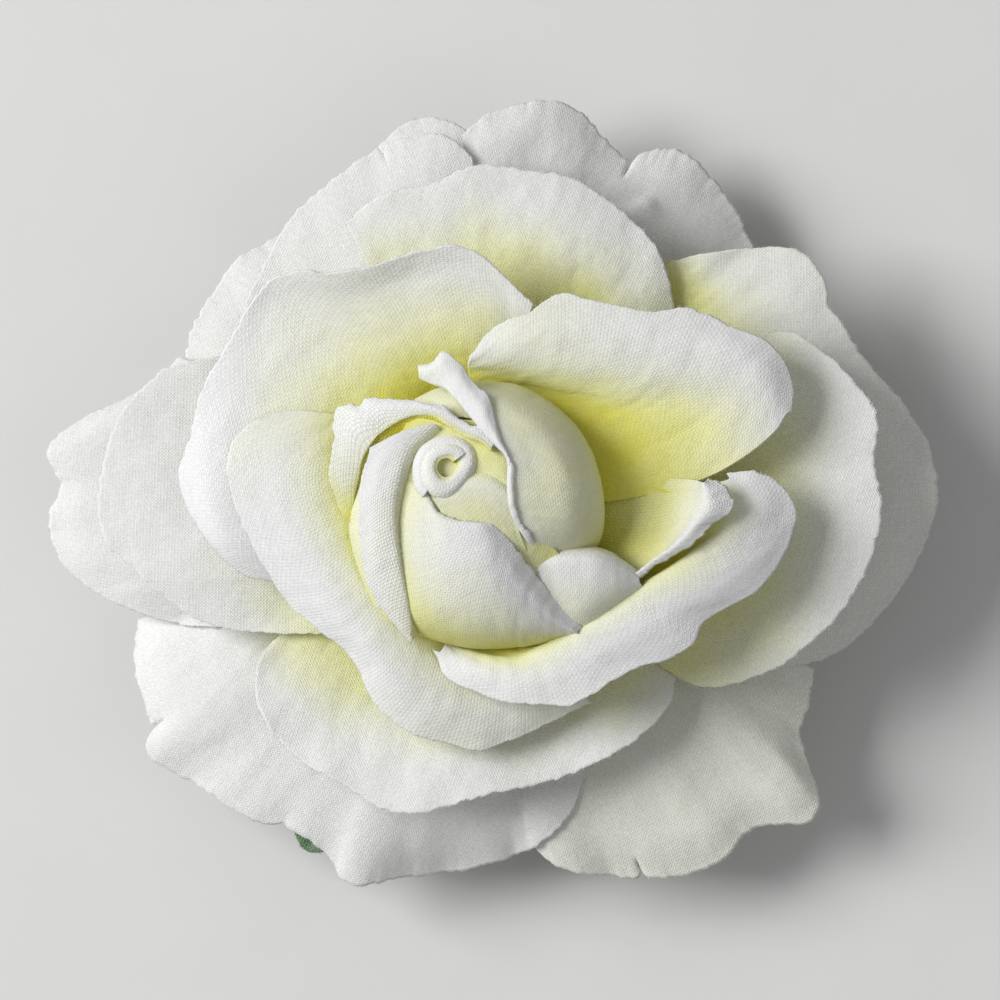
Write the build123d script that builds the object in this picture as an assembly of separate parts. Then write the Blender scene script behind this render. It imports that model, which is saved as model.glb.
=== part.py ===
from build123d import *

# Fabric flower on a sprung metal hair clip. Millimetres, +Z towards the flower's face.
# The origin is the middle of the clip's flat back face, under the flower. The clip runs
# along X, with its mouth at -X and its finger levers at +X.

import math
import os

# ---- Driving dimensions -------------------------------------------------------------

# Clip
SHEET = 0.7            # pressed steel thickness
LOWER_WIDTH = 7.0      # outer width of the lower jaw's channel
SIDE_PLAY = 0.2        # gap between the two jaws' ears, each side
UPPER_WIDTH = LOWER_WIDTH + 2 * (SHEET + SIDE_PLAY)
MOUTH_X = -28.0        # tip of both jaws
LEVER_X = 31.0         # end of both finger levers
LEVER_WIDTH = 11.0
LEVER_START_X = 16.0   # where the levers leave the jaws
LEVER_LIFT = 12.0      # degrees that the upper lever rises
UPPER_TOP = 7.0        # outer face of the upper jaw
PIN_X, PIN_Z = 14.0, 3.8
PIN_R = 0.9
PIN_CLEARANCE = 0.05
EAR_R = 2.3
TOOTH_HEIGHT = 1.3
TOOTH_PITCH = 2.4
TOOTH_COUNT = 8
SPRING_WIRE_R = 0.4
SPRING_MEAN_R = 1.6
SPRING_TURNS = 4.5
SPRING_HALF_LENGTH = 2.0

# Flower mounting
FELT_R, FELT_THICKNESS = 15.0, 1.5
GLUE_R, GLUE_THICKNESS = 9.5, 0.6
CALYX_FOOT_R, CALYX_RIM_R, CALYX_WALL = 6.5, 9.0, 0.9
PEG_R, PEG_FLANGE_R = 2.5, 5.0
SPACER_R, SPACER_THICKNESS = 6.5, 0.7

# Fabric
CLOTH = 0.4            # petal thickness, measured along the flower's axis
WRAP_CLOTH = 0.35      # thickness of the bud's petals
ROOT_R = 3.2           # petals start this far from the peg's axis
TAB_R = 7.0            # and stay flat, glued between spacers, out to here

FELT_Z = UPPER_TOP
GLUE_Z = FELT_Z + FELT_THICKNESS
CALYX_Z = GLUE_Z + GLUE_THICKNESS
CALYX_HEIGHT = 4.1
LEAF_Z = CALYX_Z + CALYX_HEIGHT + 0.3

# Each petal layer: height of its lowest cloth at the peg, rise from one petal to the
# next above it, and its section as (distance from the peg's axis, height) points.
OUTER = (14.2, 0.8, [(0, 0), (TAB_R, 0), (20, 2.0), (35, 2.6), (45, 1.2), (57, -1.5)])
MIDDLE = (17.3, 0.8, [(0, 0), (TAB_R, 0), (20, 3.5), (35, 5.2), (49, 3.8), (57, 2)])
INNER = (20.4, 1.1, [(0, 0), (TAB_R, 0), (10, 1.5), (13, 5.2), (16, 10.5), (19, 14.3),
                     (22, 15.6), (28, 14.4), (39, 10.5)])
LEAF = (LEAF_Z, 0.0, [(0, 0), (TAB_R, 0), (20, 0.4), (35, 0.2), (50, -1.3)])

# Bud: nested egg-shaped wraps about one leaning axis
BUD_X, BUD_Y, BUD_Z = 0.8, -2.0, 24.6      # foot of the bud, on top of the peg
BUD_CENTRE = 10.4                          # foot to the egg's widest height
BUD_LEAN, BUD_LEAN_BEARING = 12.0, 130.0   # degrees
NECK_R = 2.5


# ---- Helpers ------------------------------------------------------------------------

def smooth(points, x):
    """Height at x of the smooth curve through (x, height) points, never overshooting."""
    last = len(points) - 2
    i = min(max(sum(p[0] <= x for p in points) - 1, 0), last)

    def rise(k):
        k = min(max(k, 0), last)
        return (points[k + 1][1] - points[k][1]) / (points[k + 1][0] - points[k][0])

    def slope(k):
        before, after = rise(k - 1), rise(k)
        if before * after <= 0:
            return 0
        return 2 * before * after / (before + after)

    (x0, y0), (x1, y1) = points[i], points[i + 1]
    span = x1 - x0
    t = min(max((x - x0) / span, 0), 1)
    return (
        y0 * (1 + 2 * t) * (1 - t) ** 2
        + y1 * t * t * (3 - 2 * t)
        + span * slope(i) * t * (1 - t) ** 2
        + span * slope(i + 1) * t * t * (t - 1)
    )


def cloth_face(rows):
    """The smooth face through rows of points."""
    return Face.make_surface_from_array_of_points(rows, tol=0.02, min_deg=3, max_deg=3)


def polar(r, bearing, z=0.0):
    angle = math.radians(bearing)
    return Vector(r * math.cos(angle), r * math.sin(angle), z)


def open_petal(layer, level, outline, root_half=24):
    """A petal whose edge passes through the outline's (x, y) points, lying on its layer's
    section, with level counting upwards from the layer's lowest petal."""
    base, step, section = layer
    edge = Spline([(x, y, 0) for x, y in outline])
    middle = edge @ 0.5
    bearing = math.degrees(math.atan2(middle.Y, middle.X))
    turn = root_half if (edge @ 0).cross(edge @ 1).Z > 0 else -root_half
    rows = []
    for across in range(13):
        s = across / 12
        root = polar(ROOT_R, bearing + turn * (2 * s - 1))
        rim = edge @ s
        row = []
        for v in (0, 0.05, 0.12, 0.2, 0.3, 0.4, 0.52, 0.64, 0.76, 0.88, 1):
            p = root + (rim - root) * v
            height = base + level * step + smooth(section, math.hypot(p.X, p.Y))
            row.append((p.X, p.Y, height))
        rows.append(row)
    face = cloth_face(rows)
    if face.normal_at().Z > 0:
        face = -face
    return Solid.extrude(face, Vector(0, 0, -CLOTH))


def turn_outline(outline, bearing):
    """The outline's (x, y) points, turned about the peg to a bearing."""
    turned_points = [Vector(x, y).rotate(Axis.Z, bearing) for x, y in outline]
    return [(p.X, p.Y) for p in turned_points]


def bud_frame():
    """The leaning frame at the foot of the bud, +Z along the bud's axis."""
    swing = polar(1, BUD_LEAN_BEARING + 90)
    lean = Location((BUD_X, BUD_Y, BUD_Z))
    return lean * Location((0, 0, 0), (swing.X, swing.Y, 0), BUD_LEAN)


def egg_point(radius, theta, phi):
    """A point of the nested egg of that radius; phi is degrees down from its top."""
    top = 0.55 * radius + 8.6
    bottom = 0.45 * radius + 3.9
    p, t = math.radians(phi), math.radians(theta)
    tall = top if phi < 90 else bottom
    return Vector(
        radius * math.sin(p) * math.cos(t),
        radius * math.sin(p) * math.sin(t),
        BUD_CENTRE + tall * math.cos(p),
    )


def wrap_petal(radius, start, stop, rim, tilt, low):
    """A petal wrapped round the bud from bearing start to stop. Its rim lies on a plane
    that crosses the bud's axis at the rim height and tilts down towards bearing low."""
    root_phi = 180 - math.degrees(math.asin((NECK_R + 0.6) / radius))
    angles = [root_phi + (14 - root_phi) * i / 8 for i in range(9)]
    sides = [
        [egg_point(size, 0, phi) for phi in angles]
        for size in (radius, radius + WRAP_CLOTH)
    ]
    inside, outside = Spline(sides[0]), Spline(sides[1])
    section = make_face([
        inside, outside, Line(inside @ 0, outside @ 0), Line(inside @ 1, outside @ 1),
    ])
    band = Rot(0, 0, start) * revolve(section, Axis.Z, stop - start)
    blade = Pos(0, 0, rim) * Rot(0, 0, low) * Rot(0, tilt, 0) * Pos(0, 0, 25)
    return bud_frame() * (band - blade * Box(60, 60, 50)).solid()


def disc(radius, bottom, height, hole=0.0):
    """A round disc standing on a height, with an optional hole."""
    body = Pos(0, 0, bottom) * extrude(Circle(radius), height)
    if hole:
        body -= Pos(0, 0, bottom - 1) * extrude(Circle(hole), height + 2)
    return body.solid()


def turned(points):
    """A solid turned about Z from (radius, height) points."""
    section = make_face(Polyline([(r, 0, z) for r, z in points], close=True))
    return revolve(section, Axis.Z).solid()


def along_y(shape, half):
    """A flat shape drawn in (x, z), given depth along Y, centred."""
    return extrude(Plane.XZ * shape, half, both=True)


# ---- Clip ---------------------------------------------------------------------------

def plan(tip_width):
    """Plan outline of a jaw: rounded mouth, straight jaw, wider rounded lever."""
    half, tip, lever = tip_width / 2, 2.2, LEVER_WIDTH / 2
    line = Polyline([
        (MOUTH_X + tip, -half), (LEVER_START_X + 2, -half), (LEVER_START_X + 7, -lever),
        (LEVER_X, -lever), (LEVER_X, lever), (LEVER_START_X + 7, lever),
        (LEVER_START_X + 2, half), (MOUTH_X + tip, half), (MOUTH_X, half - tip),
        (MOUTH_X, tip - half),
    ], close=True)
    return make_face(line)


def strip(points):
    """A strip of sheet drawn as (x, z) points of its outer face, SHEET thick."""
    path = Polyline(points)
    return make_face(Polyline(
        [(p.X, p.Y) for p in path.vertices()]
        + [(p.X, p.Y + SHEET) for p in reversed(path.vertices())],
        close=True,
    ))


def pin_hole():
    return Pos(PIN_X, 0, PIN_Z) * Rot(90, 0, 0) * Cylinder(PIN_R + PIN_CLEARANCE, 20)


def ribs(x, z, tilt=0.0):
    """Three pressed ridges that give the finger lever its grip."""
    ridge = Rot(90, 0, 0) * Cylinder(0.45, LEVER_WIDTH - 3)
    rows = [Pos(x + 2.2 * i, 0, z + 2.2 * i * math.tan(math.radians(tilt))) * ridge
            for i in range(3)]
    return rows[0] + rows[1] + rows[2]


def lower_jaw():
    """Channel with a flat back, toothed sides, hinge ears and a flat lever."""
    lift_x, lift_z = MOUTH_X + 8, 2.0
    profile = strip([
        (MOUTH_X, lift_z), (MOUTH_X + 2, lift_z), (lift_x, 0),
        (LEVER_X - 3, 0), (LEVER_X, 1.1),
    ])
    floor = along_y(profile, 10) & extrude(plan(LOWER_WIDTH), 20)
    wall_top, jaw_top = 3.2, UPPER_TOP - SHEET - 0.1
    gum = jaw_top - TOOTH_HEIGHT
    teeth_start = MOUTH_X + 2.5
    points = [(teeth_start, lift_z + 0.3)]
    for i in range(TOOTH_COUNT):
        x = teeth_start + i * TOOTH_PITCH
        points += [(x, gum), (x + TOOTH_PITCH / 2, jaw_top)]
    end = teeth_start + TOOTH_COUNT * TOOTH_PITCH
    points += [(end, gum), (end + 3, wall_top), (PIN_X + EAR_R + 2, wall_top),
               (PIN_X + EAR_R + 6, 0.2), (lift_x, 0.2)]
    side = make_face(Polyline(points, close=True)) + Pos(PIN_X, PIN_Z) * Circle(EAR_R)
    walls = [
        Pos(0, s * (LOWER_WIDTH - SHEET) / 2, 0) * along_y(side, SHEET / 2)
        for s in (-1, 1)
    ]
    body = floor + walls[0] + walls[1] + ribs(LEVER_X - 7.5, SHEET)
    return (body - pin_hole()).solid()


def upper_jaw():
    """Flat plate that the flower is glued to, with hinge ears and a raised lever."""
    under = UPPER_TOP - SHEET
    rise = (LEVER_X - LEVER_START_X) * math.tan(math.radians(LEVER_LIFT))
    profile = strip([(MOUTH_X, under), (LEVER_START_X, under), (LEVER_X, under + rise)])
    plate = along_y(profile, 10) & extrude(plan(UPPER_WIDTH), 20)
    flange = 1.3
    side = make_face(Polyline([
        (MOUTH_X + 3, under - flange), (PIN_X - 6, under - flange),
        (PIN_X - EAR_R, PIN_Z), (PIN_X + EAR_R, PIN_Z), (LEVER_START_X + 1, under + 0.1),
        (MOUTH_X + 3, under + 0.1),
    ], close=True)) + Pos(PIN_X, PIN_Z) * Circle(EAR_R)
    walls = [
        Pos(0, s * (UPPER_WIDTH - SHEET) / 2, 0) * along_y(side, SHEET / 2)
        for s in (-1, 1)
    ]
    ridge_x = LEVER_X - 7.5
    ridge_z = UPPER_TOP + (ridge_x - LEVER_START_X) * math.tan(math.radians(LEVER_LIFT))
    body = plate + walls[0] + walls[1] + ribs(ridge_x, ridge_z, LEVER_LIFT)
    return (body - pin_hole()).solid()


def hinge_pin():
    """Rivet through both pairs of ears, with a domed head on each end."""
    body = Cylinder(PIN_R, UPPER_WIDTH + 0.6)
    for side in (-1, 1):
        body += Pos(0, 0, side * (UPPER_WIDTH / 2 + 0.35)) * Cylinder(1.5, 0.6)
    body = fillet(body.edges().filter_by(GeomType.CIRCLE).group_by(Axis.Z)[-1], 0.3)
    body = fillet(body.edges().filter_by(GeomType.CIRCLE).group_by(Axis.Z)[0], 0.3)
    return (Pos(PIN_X, 0, PIN_Z) * Rot(90, 0, 0) * body).solid()


def torsion_spring():
    """Coil round the pin, with one leg under the upper lever and one on the lower."""
    pitch = 2 * SPRING_HALF_LENGTH / SPRING_TURNS
    coil = Helix(pitch, 2 * SPRING_HALF_LENGTH, SPRING_MEAN_R)
    wire = Plane(coil @ 0, z_dir=coil % 0) * Circle(SPRING_WIRE_R)
    body = sweep(wire, coil, is_frenet=True)
    # The coil starts at its own +X and ends half a turn round, so it stands with its
    # start upwards: the start's leg presses on the upper lever.
    place = Pos(PIN_X, -SPRING_HALF_LENGTH, PIN_Z) * Rot(-90, 0, 0) * Rot(0, 0, -90)
    body = place * body
    reach = 8.0
    legs = [
        (-SPRING_HALF_LENGTH, SPRING_MEAN_R, 0.217),
        (SPRING_HALF_LENGTH, -SPRING_MEAN_R, -0.135),
    ]
    for y, z, slope in legs:
        start = Vector(PIN_X, y, PIN_Z + z)
        stop = start + Vector(reach, 0, reach * slope)
        leg = Plane(start, z_dir=stop - start) * Circle(SPRING_WIRE_R)
        body += extrude(leg, (stop - start).length)
        body += Pos(start) * Sphere(SPRING_WIRE_R)
    return body.solid()


# ---- Flower -------------------------------------------------------------------------

def calyx_cup():
    """Moulded green cup that the peg stands in and the lowest leaves are glued to."""
    top = CALYX_Z + CALYX_HEIGHT
    return turned([
        (PEG_R + 0.1, CALYX_Z), (CALYX_FOOT_R, CALYX_Z), (CALYX_RIM_R, top - 1.4),
        (CALYX_RIM_R, top), (PEG_R + 0.1, top), (PEG_R + 0.1, top - CALYX_WALL),
        (CALYX_RIM_R - 1.8, top - CALYX_WALL), (CALYX_FOOT_R - 1, CALYX_Z + CALYX_WALL),
        (PEG_R + 0.1, CALYX_Z + CALYX_WALL),
    ])


def centre_peg():
    """Peg with a stepped head that carries the stack of petals."""
    top = BUD_Z - 0.6
    return turned([(0, CALYX_Z + 0.05), (PEG_R, CALYX_Z + 0.05), (PEG_R, top - 0.4),
                   (PEG_R - 0.4, top), (0, top)])


def bud_core():
    """Moulded egg and neck inside the bud."""
    radius = 5.6
    outline = [egg_point(radius, 0, phi) for phi in range(30, 151, 10)]
    points = [(0, 0), (NECK_R, 0), (NECK_R, outline[-1].Z)]
    points += [(p.X, p.Z) for p in reversed(outline)]
    points += [(0, outline[0].Z)]
    return bud_frame() * turned(points)


def bud_roll():
    """Tightly rolled strip at the very middle, open down its centre."""
    top, bottom = BUD_CENTRE + 13.4, BUD_CENTRE + 10.3
    return bud_frame() * turned([(0.8, bottom), (2.6, bottom), (3.2, top - 0.9),
                                 (2.9, top), (1.1, top), (0.8, top - 0.4)])


LEAVES = [(245, 1.0), (5, 1.0), (110, 0.82)]    # bearing and size
LEAF_OUTLINE = [(14, -8), (26, -12), (39, -8.5), (49.3, 0), (39, 8.5), (26, 12), (14, 8)]
OUTER_PETALS = {
    "outer_petal_right": (2, [
        (22.8, 28), (34.4, 29.9), (42, 26.8), (48, 15.7), (55, 6.2), (55.6, -5.5),
        (51.7, -12.5), (46.1, -18.7), (36.9, -21.9)]),
    "outer_petal_upper_right": (1, [
        (-2.1, 43.7), (4.3, 47.5), (12.5, 46.7), (18.8, 41.5), (24.6, 42.3), (29, 38.6),
        (34.1, 29.9)]),
    "outer_petal_upper_left": (0, [
        (-36.5, 16.4), (-32.6, 25.2), (-26.4, 30.8), (-15, 39.5), (-7.5, 45.8),
        (-1.5, 44.5)]),
    "outer_petal_left": (2, [
        (-36.9, 16.4), (-49.8, 8.4), (-53, 1), (-51.9, -8.6), (-42.4, -15),
        (-32.6, -17)]),
    "outer_petal_lower_left": (1, [
        (-42.4, -16), (-40.6, -30), (-28.3, -40.8), (-16.4, -48.2), (-1.2, -47),
        (9, -42.5), (13.3, -34.2)]),
    "outer_petal_lower_right": (0, [
        (7, -44.5), (19.7, -48), (30.5, -45.8), (40.8, -40), (40, -30),
        (41.3, -22.1)]),
}
MIDDLE_PETALS = {
    "middle_petal_right": (1, [
        (33.2, 19.1), (41.8, 17.2), (48.6, 9.6), (49.2, -1.5), (46.1, -12.5),
        (36.9, -21.5), (27.1, -24.1), (22.4, -21.9)]),
    "middle_petal_top": (1, [
        (-16.6, 33), (-6.2, 37.5), (4.9, 39.4), (16.9, 34.8), (23.1, 26.4),
        (24.1, 21.5)]),
    "middle_petal_upper_left": (0, [
        (-29.8, 17.8), (-26.8, 27.1), (-17.8, 38.4), (-6.2, 43.6), (-0.9, 40.8)]),
    "middle_petal_left": (2, [
        (-31.2, 16.5), (-41.5, 12.4), (-46.9, -1), (-42.4, -9.5), (-33.5, -16.4),
        (-18.2, -17.6)]),
    "middle_petal_bottom": (0, [
        (-24.5, -17.6), (-27.6, -24.6), (-22.1, -33.2), (-8.6, -39.7), (9.8, -35.4),
        (20.9, -29.3), (24, -22.8)]),
}
INNER_PETALS = {
    "inner_petal_upper_left": (0, [
        (-25.2, -10.6), (-35, -3), (-35.2, 6.2), (-27.7, 22.5), (-17, 26.8),
        (-3.1, 29.3), (6.5, 22.3)]),
    "inner_petal_upper_right": (1, [
        (-1.1, 16), (6.4, 22), (14.9, 22.8), (30.6, 19.6), (38, 11.4), (31, 3.2),
        (15.7, -1.6)]),
    "inner_petal_lower_left": (1, [
        (-21, 9), (-29.9, 5.9), (-30, -2), (-23, -13.9), (-13.5, -24.8),
        (-0.2, -31.4), (12.5, -26.5)]),
    "inner_petal_lower_right": (2, [
        (-5.2, -19.4), (4.4, -25.7), (16, -23.1), (26.9, -16), (37.8, -5.5),
        (36, 1.2), (27, 3)]),
}
# Radius, first and last bearing, rim height, the rim's tilt and its low side's bearing
BUD_PETALS = {
    "bud_petal_left": (13.4, 150, 262, 22, 6, 262),
    "bud_petal_right": (13.4, 285, 395, 19.5, 5, 285),
    "bud_petal_upper_left": (12.4, 75, 205, 22, 6, 75),
    "bud_petal_front": (12.4, 235, 345, 18, 8, 300),
    "bud_petal_dome": (11.4, -65, 125, 20.5, 14, 295),
    "bud_petal_lower": (10.4, 165, 345, 20.5, 14, 330),
    "bud_wrap_outer": (9.2, 110, 300, 20.5, 8, 300),
    "bud_wrap_inner": (8.0, -70, 130, 19.5, 6, 290),
}


def build():
    parts = {
        "lower_jaw": lower_jaw(),
        "upper_jaw": upper_jaw(),
        "hinge_pin": hinge_pin(),
        "torsion_spring": torsion_spring(),
        "felt_pad": disc(FELT_R, FELT_Z, FELT_THICKNESS),
        "glue_disc": disc(GLUE_R, GLUE_Z, GLUE_THICKNESS),
        "calyx_cup": calyx_cup(),
        "centre_peg": centre_peg(),
        "bud_core": bud_core(),
        "bud_roll": bud_roll(),
    }
    spacer_heights = {
        "spacer_lower": OUTER[0] + 2 * OUTER[1] + 0.1,
        "spacer_middle": MIDDLE[0] + 2 * MIDDLE[1] + 0.1,
        "spacer_upper": INNER[0] + 2 * INNER[1] + 0.15,
    }
    for name, height in spacer_heights.items():
        parts[name] = disc(SPACER_R, height, SPACER_THICKNESS, hole=PEG_R + 0.1)
    for i, (bearing, size) in enumerate(LEAVES):
        foot = LEAF_OUTLINE[0][0]
        outline = [(foot + (x - foot) * size, y * size) for x, y in LEAF_OUTLINE]
        outline = turn_outline(outline, bearing)
        parts[f"leaf_{i + 1}"] = open_petal(LEAF, 0, outline)
    for layer, petals in (
        (OUTER, OUTER_PETALS), (MIDDLE, MIDDLE_PETALS), (INNER, INNER_PETALS),
    ):
        for name, (level, outline) in petals.items():
            parts[name] = open_petal(layer, level, outline)
    for name, sizes in BUD_PETALS.items():
        parts[name] = wrap_petal(*sizes)
    return parts


os.makedirs("parts", exist_ok=True)
for node, shape in build().items():
    shape.label = node
    export_step(shape, f"parts/{node}.step")
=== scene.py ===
"""Looks of the fabric flower hair clip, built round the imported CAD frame.

Lengths are written in millimetres and turned into metres when a mesh is made. X runs along
the clip, Y runs up the flower's face and Z points the way the flower faces.
"""

import math

import bpy
import numpy as np
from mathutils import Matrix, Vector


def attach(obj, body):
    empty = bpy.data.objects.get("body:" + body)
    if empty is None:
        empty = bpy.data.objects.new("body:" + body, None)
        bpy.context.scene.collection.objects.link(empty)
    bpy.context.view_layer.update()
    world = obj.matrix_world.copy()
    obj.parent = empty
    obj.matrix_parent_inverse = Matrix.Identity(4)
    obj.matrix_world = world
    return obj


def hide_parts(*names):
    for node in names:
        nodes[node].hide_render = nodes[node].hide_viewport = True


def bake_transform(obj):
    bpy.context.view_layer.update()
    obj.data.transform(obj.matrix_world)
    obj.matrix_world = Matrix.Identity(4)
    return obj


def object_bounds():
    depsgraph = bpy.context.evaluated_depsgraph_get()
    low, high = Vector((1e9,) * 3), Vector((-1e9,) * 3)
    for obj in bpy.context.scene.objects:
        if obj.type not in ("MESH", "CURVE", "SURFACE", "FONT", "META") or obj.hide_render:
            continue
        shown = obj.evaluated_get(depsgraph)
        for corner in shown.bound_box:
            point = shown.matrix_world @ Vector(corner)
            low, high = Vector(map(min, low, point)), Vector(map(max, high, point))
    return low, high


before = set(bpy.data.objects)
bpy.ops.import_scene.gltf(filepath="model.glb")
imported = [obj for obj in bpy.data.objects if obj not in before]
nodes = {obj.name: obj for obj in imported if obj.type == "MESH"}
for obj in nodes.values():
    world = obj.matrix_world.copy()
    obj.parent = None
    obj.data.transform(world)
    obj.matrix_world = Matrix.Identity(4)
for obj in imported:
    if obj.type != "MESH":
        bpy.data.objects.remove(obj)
cad_low, cad_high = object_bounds()
MM = 0.001


# ---- Number helpers ----

LATTICE = 64  # cells after which the value noise repeats


def smoothstep(lo, hi, x):
    t = np.clip((x - lo) / (hi - lo), 0, 1)
    return t * t * (3 - 2 * t)


def noise(x, y, seed):
    """Smooth value noise between -1 and 1; one cell is one unit of x or y."""
    grid = np.random.RandomState(seed).rand(LATTICE, LATTICE) * 2 - 1
    xi, yi = np.floor(x).astype(int), np.floor(y).astype(int)
    fx, fy = x - xi, y - yi
    fx, fy = fx * fx * (3 - 2 * fx), fy * fy * (3 - 2 * fy)

    def at(i, j):
        return grid[i % LATTICE, j % LATTICE]

    low = at(xi, yi) * (1 - fx) + at(xi + 1, yi) * fx
    high = at(xi, yi + 1) * (1 - fx) + at(xi + 1, yi + 1) * fx
    return low * (1 - fy) + high * fy


def fractal(x, y, seed, octaves=3):
    """Value noise with finer, weaker layers added."""
    total = np.zeros_like(x, dtype=float)
    for k in range(octaves):
        total += noise(x * 2 ** k, y * 2 ** k, seed + 17 * k) * 0.5 ** k
    return total


def unit(vectors):
    """The vectors along the last axis, scaled to a length of one."""
    return vectors / np.maximum(np.linalg.norm(vectors, axis=-1, keepdims=True), 1e-9)


def run_along(points):
    """Distance from the first point to each point of a line."""
    return np.concatenate([[0], np.cumsum(np.linalg.norm(np.diff(points, axis=0), axis=1))])


def curve(points, count):
    """count points along a smooth curve through points, evenly spaced by length."""
    p = np.array(points, float)
    step = np.maximum(np.linalg.norm(np.diff(p, axis=0), axis=1), 1e-6) ** 0.7
    t = np.concatenate([[0], np.cumsum(step)])
    w = np.diff(t)
    d = np.diff(p, axis=0) / w[:, None]
    slope = np.zeros_like(p)
    slope[0], slope[-1] = d[0], d[-1]
    if len(p) > 2:
        weighted = d[:-1] * w[1:, None] + d[1:] * w[:-1, None]
        slope[1:-1] = weighted / (w[:-1] + w[1:])[:, None]

    def at(s):
        i = np.clip(np.searchsorted(t, s, side="right") - 1, 0, len(p) - 2)
        h = (t[i + 1] - t[i])[:, None]
        f = ((s - t[i]) / (t[i + 1] - t[i]))[:, None]
        return (p[i] * (1 + 2 * f) * (1 - f) ** 2 + p[i + 1] * f * f * (3 - 2 * f)
                + h * slope[i] * f * (1 - f) ** 2 + h * slope[i + 1] * f * f * (f - 1))

    fine = at(np.linspace(0, t[-1], max(count * 4, 60)))
    run = run_along(fine)
    want = np.linspace(0, run[-1], count)
    return np.stack([np.interp(want, run, fine[:, k]) for k in range(p.shape[1])], 1)


def spread(values, u):
    """Smoothly interpolates evenly spaced values over u in 0..1."""
    n = len(values)
    fine = curve([(i / (n - 1), v) for i, v in enumerate(values)], 200)
    return np.interp(u, fine[:, 0], fine[:, 1])


def straight(values, u):
    """Interpolates evenly spaced values over u in 0..1 with straight lines."""
    return np.interp(u, np.linspace(0, 1, len(values)), values)[:, None]


def loft(rows, across, along):
    """A grid of points (across, along, 3) on the smooth surface through rows of points."""
    lines = np.stack([curve(r, across) for r in rows], 1)
    return np.stack([curve(lines[i], along) for i in range(across)], 0)


def unit_grid(across, along):
    """Places across and along a sheet, both 0..1."""
    return np.meshgrid(np.linspace(0, 1, across), np.linspace(0, 1, along), indexing="ij")


def halfway(grid, axis):
    """The grid with a new point halfway between neighbours along one axis."""
    rows = np.moveaxis(grid, axis, 0)
    fine = np.empty((len(rows) * 2 - 1, *rows.shape[1:]))
    fine[::2] = rows
    fine[1::2] = (rows[1:] + rows[:-1]) / 2
    return np.moveaxis(fine, 0, axis)


def normals(grid):
    return unit(np.cross(np.gradient(grid, axis=0), np.gradient(grid, axis=1)))


def cloth_uv(grid):
    """Distances across and along the cloth, for the weave."""
    du = np.linalg.norm(np.diff(grid, axis=0), axis=2).mean(1)
    dv = np.linalg.norm(np.diff(grid, axis=1), axis=2).mean(0)
    u = np.concatenate([[0], np.cumsum(du)])
    v = np.concatenate([[0], np.cumsum(dv)])
    return np.stack(np.meshgrid(u, v, indexing="ij"), 2)


# ---- Shader helpers ----

def new_material(name):
    m = bpy.data.materials.new(name)
    m.use_nodes = True
    m.node_tree.nodes.clear()
    return m, m.node_tree


def add(tree, kind, **values):
    """Adds a shader node; values named in_X_Y go to its input "X Y"."""
    node = tree.nodes.new(kind)
    for key, value in values.items():
        if key.startswith("in_"):
            node.inputs[key[3:].replace("_", " ")].default_value = value
        else:
            setattr(node, key, value)
    return node


def math_node(tree, operation, *values, clamp=False):
    node = add(tree, "ShaderNodeMath", operation=operation, use_clamp=clamp)
    for socket, value in zip(node.inputs, values):
        if isinstance(value, (int, float)):
            socket.default_value = value
        else:
            tree.links.new(value, socket)
    return node.outputs[0]


def mix_colour(tree, factor, a, b, blend="MIX"):
    node = add(tree, "ShaderNodeMix", data_type="RGBA", blend_type=blend)
    for socket, value in ((node.inputs[0], factor), (node.inputs[6], a), (node.inputs[7], b)):
        if hasattr(value, "links"):
            tree.links.new(value, socket)
        elif isinstance(value, (int, float)):
            socket.default_value = value
        else:
            socket.default_value = (*value, 1.0)
    return node.outputs[2]


def noise_node(tree, vector, scale, detail, rough=0.5, stretch=None):
    if stretch is not None:
        mapping = add(tree, "ShaderNodeMapping", in_Scale=stretch)
        tree.links.new(vector, mapping.inputs[0])
        vector = mapping.outputs[0]
    node = add(tree, "ShaderNodeTexNoise", in_Scale=scale, in_Detail=detail, in_Roughness=rough)
    tree.links.new(vector, node.inputs["Vector"])
    return node.outputs[0]


def bump_node(tree, height, strength, depth):
    node = add(tree, "ShaderNodeBump", in_Strength=strength, in_Distance=depth)
    tree.links.new(height, node.inputs["Height"])
    return node.outputs[0]


def skin_node(tree, colour, normal=None, **values):
    node = add(tree, "ShaderNodeBsdfPrincipled", **values)
    tree.links.new(colour, node.inputs["Base Color"])
    if normal is not None:
        tree.links.new(normal, node.inputs["Normal"])
    return node


def finish_material(tree, shader):
    out = add(tree, "ShaderNodeOutputMaterial")
    tree.links.new(shader.outputs[0], out.inputs[0])


def object_place(tree):
    return add(tree, "ShaderNodeTexCoord").outputs["Object"]


def cloth_place(tree):
    return add(tree, "ShaderNodeUVMap", uv_map="cloth").outputs[0]


def tint_value(tree):
    return add(tree, "ShaderNodeAttribute", attribute_name="tint").outputs["Fac"]


# ---- Materials ----

# Colour of the petal cloth from undyed to fully dyed.
DYE_STOPS = (
    (0.0, (0.870, 0.873, 0.866)), (0.2, (0.865, 0.87, 0.71)), (0.5, (0.855, 0.855, 0.42)),
    (0.8, (0.83, 0.80, 0.17)), (1.0, (0.80, 0.74, 0.06)),
)
CLOTH_BUMP_DEPTH = 0.00015
CLOTH_TRANSLUCENCE = 0.22


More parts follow.
